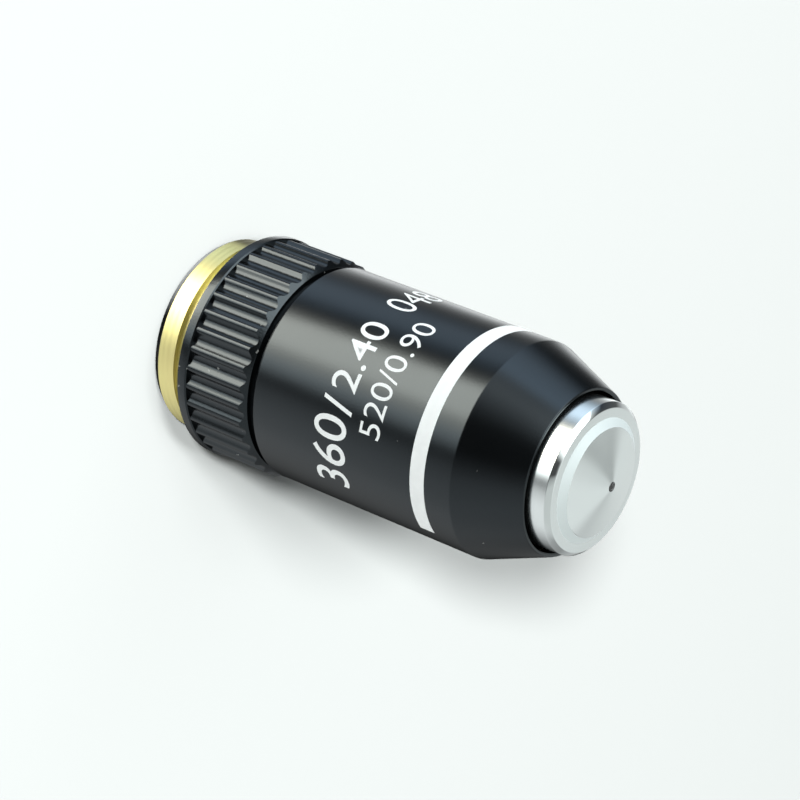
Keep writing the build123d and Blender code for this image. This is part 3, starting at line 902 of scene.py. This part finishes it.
def tent_nodes(world, studio):
    """A light tent of white walls, soft panels and dark gaps, by azimuth and by height.

    Each of its three bands has stops of azimuth in degrees, brightness and tint.
    """
    nodes = Nodes(world.node_tree)
    direction = nodes.add("ShaderNodeTexCoord").outputs["Generated"]
    split = nodes.add("ShaderNodeSeparateXYZ")
    nodes.put(split.inputs[0], direction)
    x, y, z = split.outputs
    azimuth = nodes.math("ARCTAN2", x, nodes.math("MULTIPLY", y, -1.0))
    turned_azimuth = nodes.math("SUBTRACT", azimuth, studio.camera_turn)
    share = nodes.math("ADD", nodes.math("DIVIDE", turned_azimuth, math.tau), 0.5)
    turn = nodes.math("WRAP", share, 1.0, 0.0)
    height = nodes.math("DEGREES", nodes.math("ARCSINE", z))
    plain = (0.95, 1.0, 0.985)
    cool = (0.97, 1.0, 1.0)
    blue = (0.82, 1.0, 1.18)
    warm = (1.06, 1.0, 0.87)
    brightest = 10.0

    def stops(levels):
        return [
            ((angle + 180) / 360, tuple(level * channel / brightest for channel in tint))
            for angle, level, tint in levels
        ]

    below = (
        (-180, 0.15, cool), (-171, 0.5, cool), (-160, 1.7, cool), (-150, 1.2, cool),
        (-136, 0.45, cool), (-124, 0.25, cool), (-112, 0.38, blue), (-97, 0.93, blue),
        (-80, 1.05, blue), (-70, 0.5, blue), (-60, 0.25, cool), (-50, 1.4, warm),
        (-42, 8.0, warm), (-14, 8.0, warm), (-4, 4.2, warm), (9, 2.9, plain),
        (19, 1.5, plain), (25, 0.25, cool), (33, 0.28, cool), (42, 0.65, cool),
        (62, 0.88, cool), (95, 0.85, cool), (112, 0.6, cool), (128, 0.35, cool),
        (146, 0.12, cool), (162, 0.03, plain), (180, 0.02, plain),
    )
    level = (
        (-180, 0.76, plain), (-165, 0.8, plain), (-150, 0.55, cool), (-140, 0.1, cool),
        (-116, 0.05, blue), (-107, 0.42, blue), (-92, 1.3, blue), (-70, 2.0, blue),
        (-60, 1.0, cool), (-46, 1.4, cool), (-34, 0.85, cool), (-22, 0.33, cool),
        (-12, 0.03, cool), (22, 0.02, cool), (36, 0.28, cool), (50, 0.65, cool),
        (74, 0.8, cool), (105, 0.68, cool), (125, 0.38, cool), (142, 0.3, cool),
        (158, 0.5, cool), (168, 0.66, plain), (180, 0.76, plain),
    )
    above = (
        (-180, 0.74, plain), (-169, 0.72, plain), (-161, 0.4, plain), (-153, 0.7, plain),
        (-140, 0.3, plain), (-128, 0.08, plain), (-112, 0.1, plain), (-101, 0.6, plain),
        (-94, 4.2, plain), (-38, 4.2, plain), (-26, 1.4, plain), (-12, 0.3, plain),
        (-6, 0.08, cool), (20, 0.07, cool), (28, 0.4, plain), (45, 0.62, plain),
        (110, 0.66, plain), (140, 0.84, plain), (166, 0.84, plain), (180, 0.74, plain),
    )
    # Heights in degrees over which one band passes into the next
    low_edge, high_edge, crown_edge = (-24.0, -6.0), (22.0, 38.0), (62.0, 76.0)
    low, middle, high = (nodes.ramp(turn, stops(levels)) for levels in (below, level, above))
    lower = nodes.mix(nodes.step(height, *low_edge), low, middle)
    upper = nodes.mix(nodes.step(height, *high_edge), lower, high)
    crown = tinted(plain, 1 / brightest)
    tent = nodes.mix(nodes.step(height, *crown_edge), upper, crown)
    back = nodes.add("ShaderNodeBackground")
    nodes.put(back.inputs["Color"], tent)
    back.inputs["Strength"].default_value = brightest * studio.tent
    wall = nodes.add("ShaderNodeBackground")
    wall.inputs["Color"].default_value = WALL
    seen = nodes.add("ShaderNodeMixShader")
    nodes.put(seen.inputs[0], nodes.add("ShaderNodeLightPath").outputs["Is Camera Ray"])
    nodes.put(seen.inputs[1], back.outputs[0])
    nodes.put(seen.inputs[2], wall.outputs[0])
    output = nodes.add("ShaderNodeOutputWorld")
    nodes.put(output.inputs["Surface"], seen.outputs[0])


def floor_material(name, colour):
    material, nodes, shader, where = new_material(name)
    tone = nodes.noise(where, 6.0, 2.0)
    pale = nodes.mix(tone, tinted(colour, 0.985), tinted(colour, 1.01))
    nodes.put(shader.inputs["Base Color"], pale)
    shader.inputs["Roughness"].default_value = 0.9
    return material


def soft_light(name, power, size, azimuth, rise, turn, reach=1.0):
    """A round lamp aimed at the object from that azimuth and rise, kept out of reflections."""
    light = bpy.data.lights.new(name, "AREA")
    light.shape = "DISK"
    light.size = size
    light.energy = power
    light.color = (0.972, 1.0, 0.988)
    lamp = bpy.data.objects.new(name, light)
    across = turn + math.radians(azimuth)
    up = math.radians(rise)
    level = math.cos(up)
    place = Vector((math.sin(across) * level, -math.cos(across) * level, math.sin(up))) * reach
    facing = place.to_track_quat("Z", "Y").to_matrix().to_4x4()
    lamp.matrix_world = Matrix.Translation(place) @ facing
    lamp.visible_glossy = False
    bpy.context.scene.collection.objects.link(lamp)
    return lamp


def build_stage(studio):
    scene = bpy.context.scene
    bm = bmesh.new()
    bmesh.ops.create_circle(bm, cap_ends=True, radius=3.0, segments=96)
    mesh = bpy.data.meshes.new("studio floor")
    bm.to_mesh(mesh)
    bm.free()
    mesh.materials.append(floor_material("pale floor", studio.floor))
    floor = bpy.data.objects.new("studio_floor", mesh)
    scene.collection.objects.link(floor)
    floor.visible_glossy = False

    world = bpy.data.worlds.new("light tent")
    world.use_nodes = True
    scene.world = world
    tent_nodes(world, studio)

    lit = bpy.data.collections.new("floor only")
    lit.objects.link(floor)
    turn = studio.camera_turn
    # Share of the power, size, azimuth and rise of the lamps that light the floor alone
    floor_lamps = ((0.55, 0.4, -6.0, 30.0), (0.24, 0.8, -15.0, 50.0), (0.08, 1.2, -26.0, 65.0))
    for share, size, azimuth, rise in floor_lamps:
        name = "floor light %d" % rise
        power = share * studio.key_power
        lamp = soft_light(name, power, size, azimuth, rise, turn, FLOOR_LAMP_REACH)
        lamp.light_linking.receiver_collection = lit
    soft_light("soft far light", 0.15 * studio.side_power, 0.5, -50.0, 30.0, turn)
    soft_light("soft near light", studio.side_power, 0.5, 45.0, 15.0, turn)

    camera_data = bpy.data.cameras.new("view")
    camera_data.sensor_width = 36
    camera_data.lens = studio.lens
    camera_data.clip_start = 0.01
    camera_data.clip_end = 20
    camera = bpy.data.objects.new("view", camera_data)
    scene.collection.objects.link(camera)
    forward = Vector((0, math.cos(studio.camera_pitch), -math.sin(studio.camera_pitch)))
    level = Vector((1, 0, 0))
    rise_axis = level.cross(forward)
    right = math.cos(studio.camera_roll) * level + math.sin(studio.camera_roll) * rise_axis
    up = right.cross(-forward) * -1
    turn_matrix = Matrix.Rotation(studio.camera_turn, 4, "Z")
    basis = Matrix((right, up, -forward)).transposed().to_4x4()
    basis.translation = Vector((-studio.camera_side, -studio.camera_distance, studio.camera_height))
    camera.matrix_world = turn_matrix @ basis
    scene.camera = camera
    scene.view_settings.view_transform = "Standard"


# Operators and panel


class OBJECTIVE_OT_mount(Operator):
    """Build the mount body with its flutes, flange and golden thread"""

    bl_idname = "objective.mount"
    bl_label = "Fluted mount"

    def execute(self, context):
        build_mount(context.scene.objective_shape, context.scene.objective_finish)
        return {"FINISHED"}


class OBJECTIVE_OT_sleeve(Operator):
    """Build the black outer sleeve"""

    bl_idname = "objective.sleeve"
    bl_label = "Outer sleeve"

    def execute(self, context):
        build_sleeve(context.scene.objective_shape, context.scene.objective_finish)
        return {"FINISHED"}


class OBJECTIVE_OT_band(Operator):
    """Build the white band"""

    bl_idname = "objective.band"
    bl_label = "White band"

    def execute(self, context):
        build_band(context.scene.objective_shape, context.scene.objective_finish)
        return {"FINISHED"}


class OBJECTIVE_OT_numbers(Operator):
    """Print plain numbers on the sleeve"""

    bl_idname = "objective.numbers"
    bl_label = "Sleeve numbers"

    def execute(self, context):
        scene = context.scene
        turn = scene.objective_studio.camera_turn
        build_numbers(scene.objective_shape, scene.objective_finish, turn)
        return {"FINISHED"}


class OBJECTIVE_OT_nose(Operator):
    """Build the polished nose cap"""

    bl_idname = "objective.nose"
    bl_label = "Nose cap"

    def execute(self, context):
        build_nose(context.scene.objective_shape, context.scene.objective_finish)
        return {"FINISHED"}


class OBJECTIVE_OT_spring(Operator):
    """Build the return spring of the nose"""

    bl_idname = "objective.spring"
    bl_label = "Return spring"

    def execute(self, context):
        build_spring()
        return {"FINISHED"}


class OBJECTIVE_OT_inner(Operator):
    """Give the inner pieces their metals and glass"""

    bl_idname = "objective.inner"
    bl_label = "Inner pieces"

    def execute(self, context):
        finish_inner()
        return {"FINISHED"}


class OBJECTIVE_OT_stage(Operator):
    """Set up the pale floor, the light tent and the camera"""

    bl_idname = "objective.stage"
    bl_label = "Studio"

    def execute(self, context):
        build_stage(context.scene.objective_studio)
        return {"FINISHED"}


STEPS = (
    OBJECTIVE_OT_mount,
    OBJECTIVE_OT_sleeve,
    OBJECTIVE_OT_band,
    OBJECTIVE_OT_numbers,
    OBJECTIVE_OT_nose,
    OBJECTIVE_OT_spring,
    OBJECTIVE_OT_inner,
    OBJECTIVE_OT_stage,
)


class OBJECTIVE_PT_panel(Panel):
    """Lists the steps that dress the objective"""

    bl_idname = "OBJECTIVE_PT_panel"
    bl_label = "Microscope objective"
    bl_space_type = "VIEW_3D"
    bl_region_type = "UI"
    bl_category = "Objective"

    def draw(self, context):
        for step in STEPS:
            self.layout.operator(step.bl_idname)
        for group in ("objective_shape", "objective_finish", "objective_studio"):
            settings = getattr(context.scene, group)
            box = self.layout.box()
            for key in settings.bl_rna.properties.keys():
                if key not in {"rna_type", "name"}:
                    box.prop(settings, key)


GROUPS = (
    ("objective_shape", ObjectiveShape),
    ("objective_finish", ObjectiveFinish),
    ("objective_studio", ObjectiveStudio),
)


def register():
    for name, group in GROUPS:
        bpy.utils.register_class(group)
        setattr(bpy.types.Scene, name, PointerProperty(type=group))
    for step in STEPS:
        bpy.utils.register_class(step)
    bpy.utils.register_class(OBJECTIVE_PT_panel)


def unregister():
    bpy.utils.unregister_class(OBJECTIVE_PT_panel)
    for step in reversed(STEPS):
        bpy.utils.unregister_class(step)
    for name, group in reversed(GROUPS):
        delattr(bpy.types.Scene, name)
        bpy.utils.unregister_class(group)


def main():
    register()
    bpy.ops.objective.mount()
    bpy.ops.objective.sleeve()
    bpy.ops.objective.band()
    bpy.ops.objective.numbers()
    bpy.ops.objective.nose()
    bpy.ops.objective.spring()
    bpy.ops.objective.inner()
    bpy.ops.objective.stage()


if __name__ == "__main__":
    main()
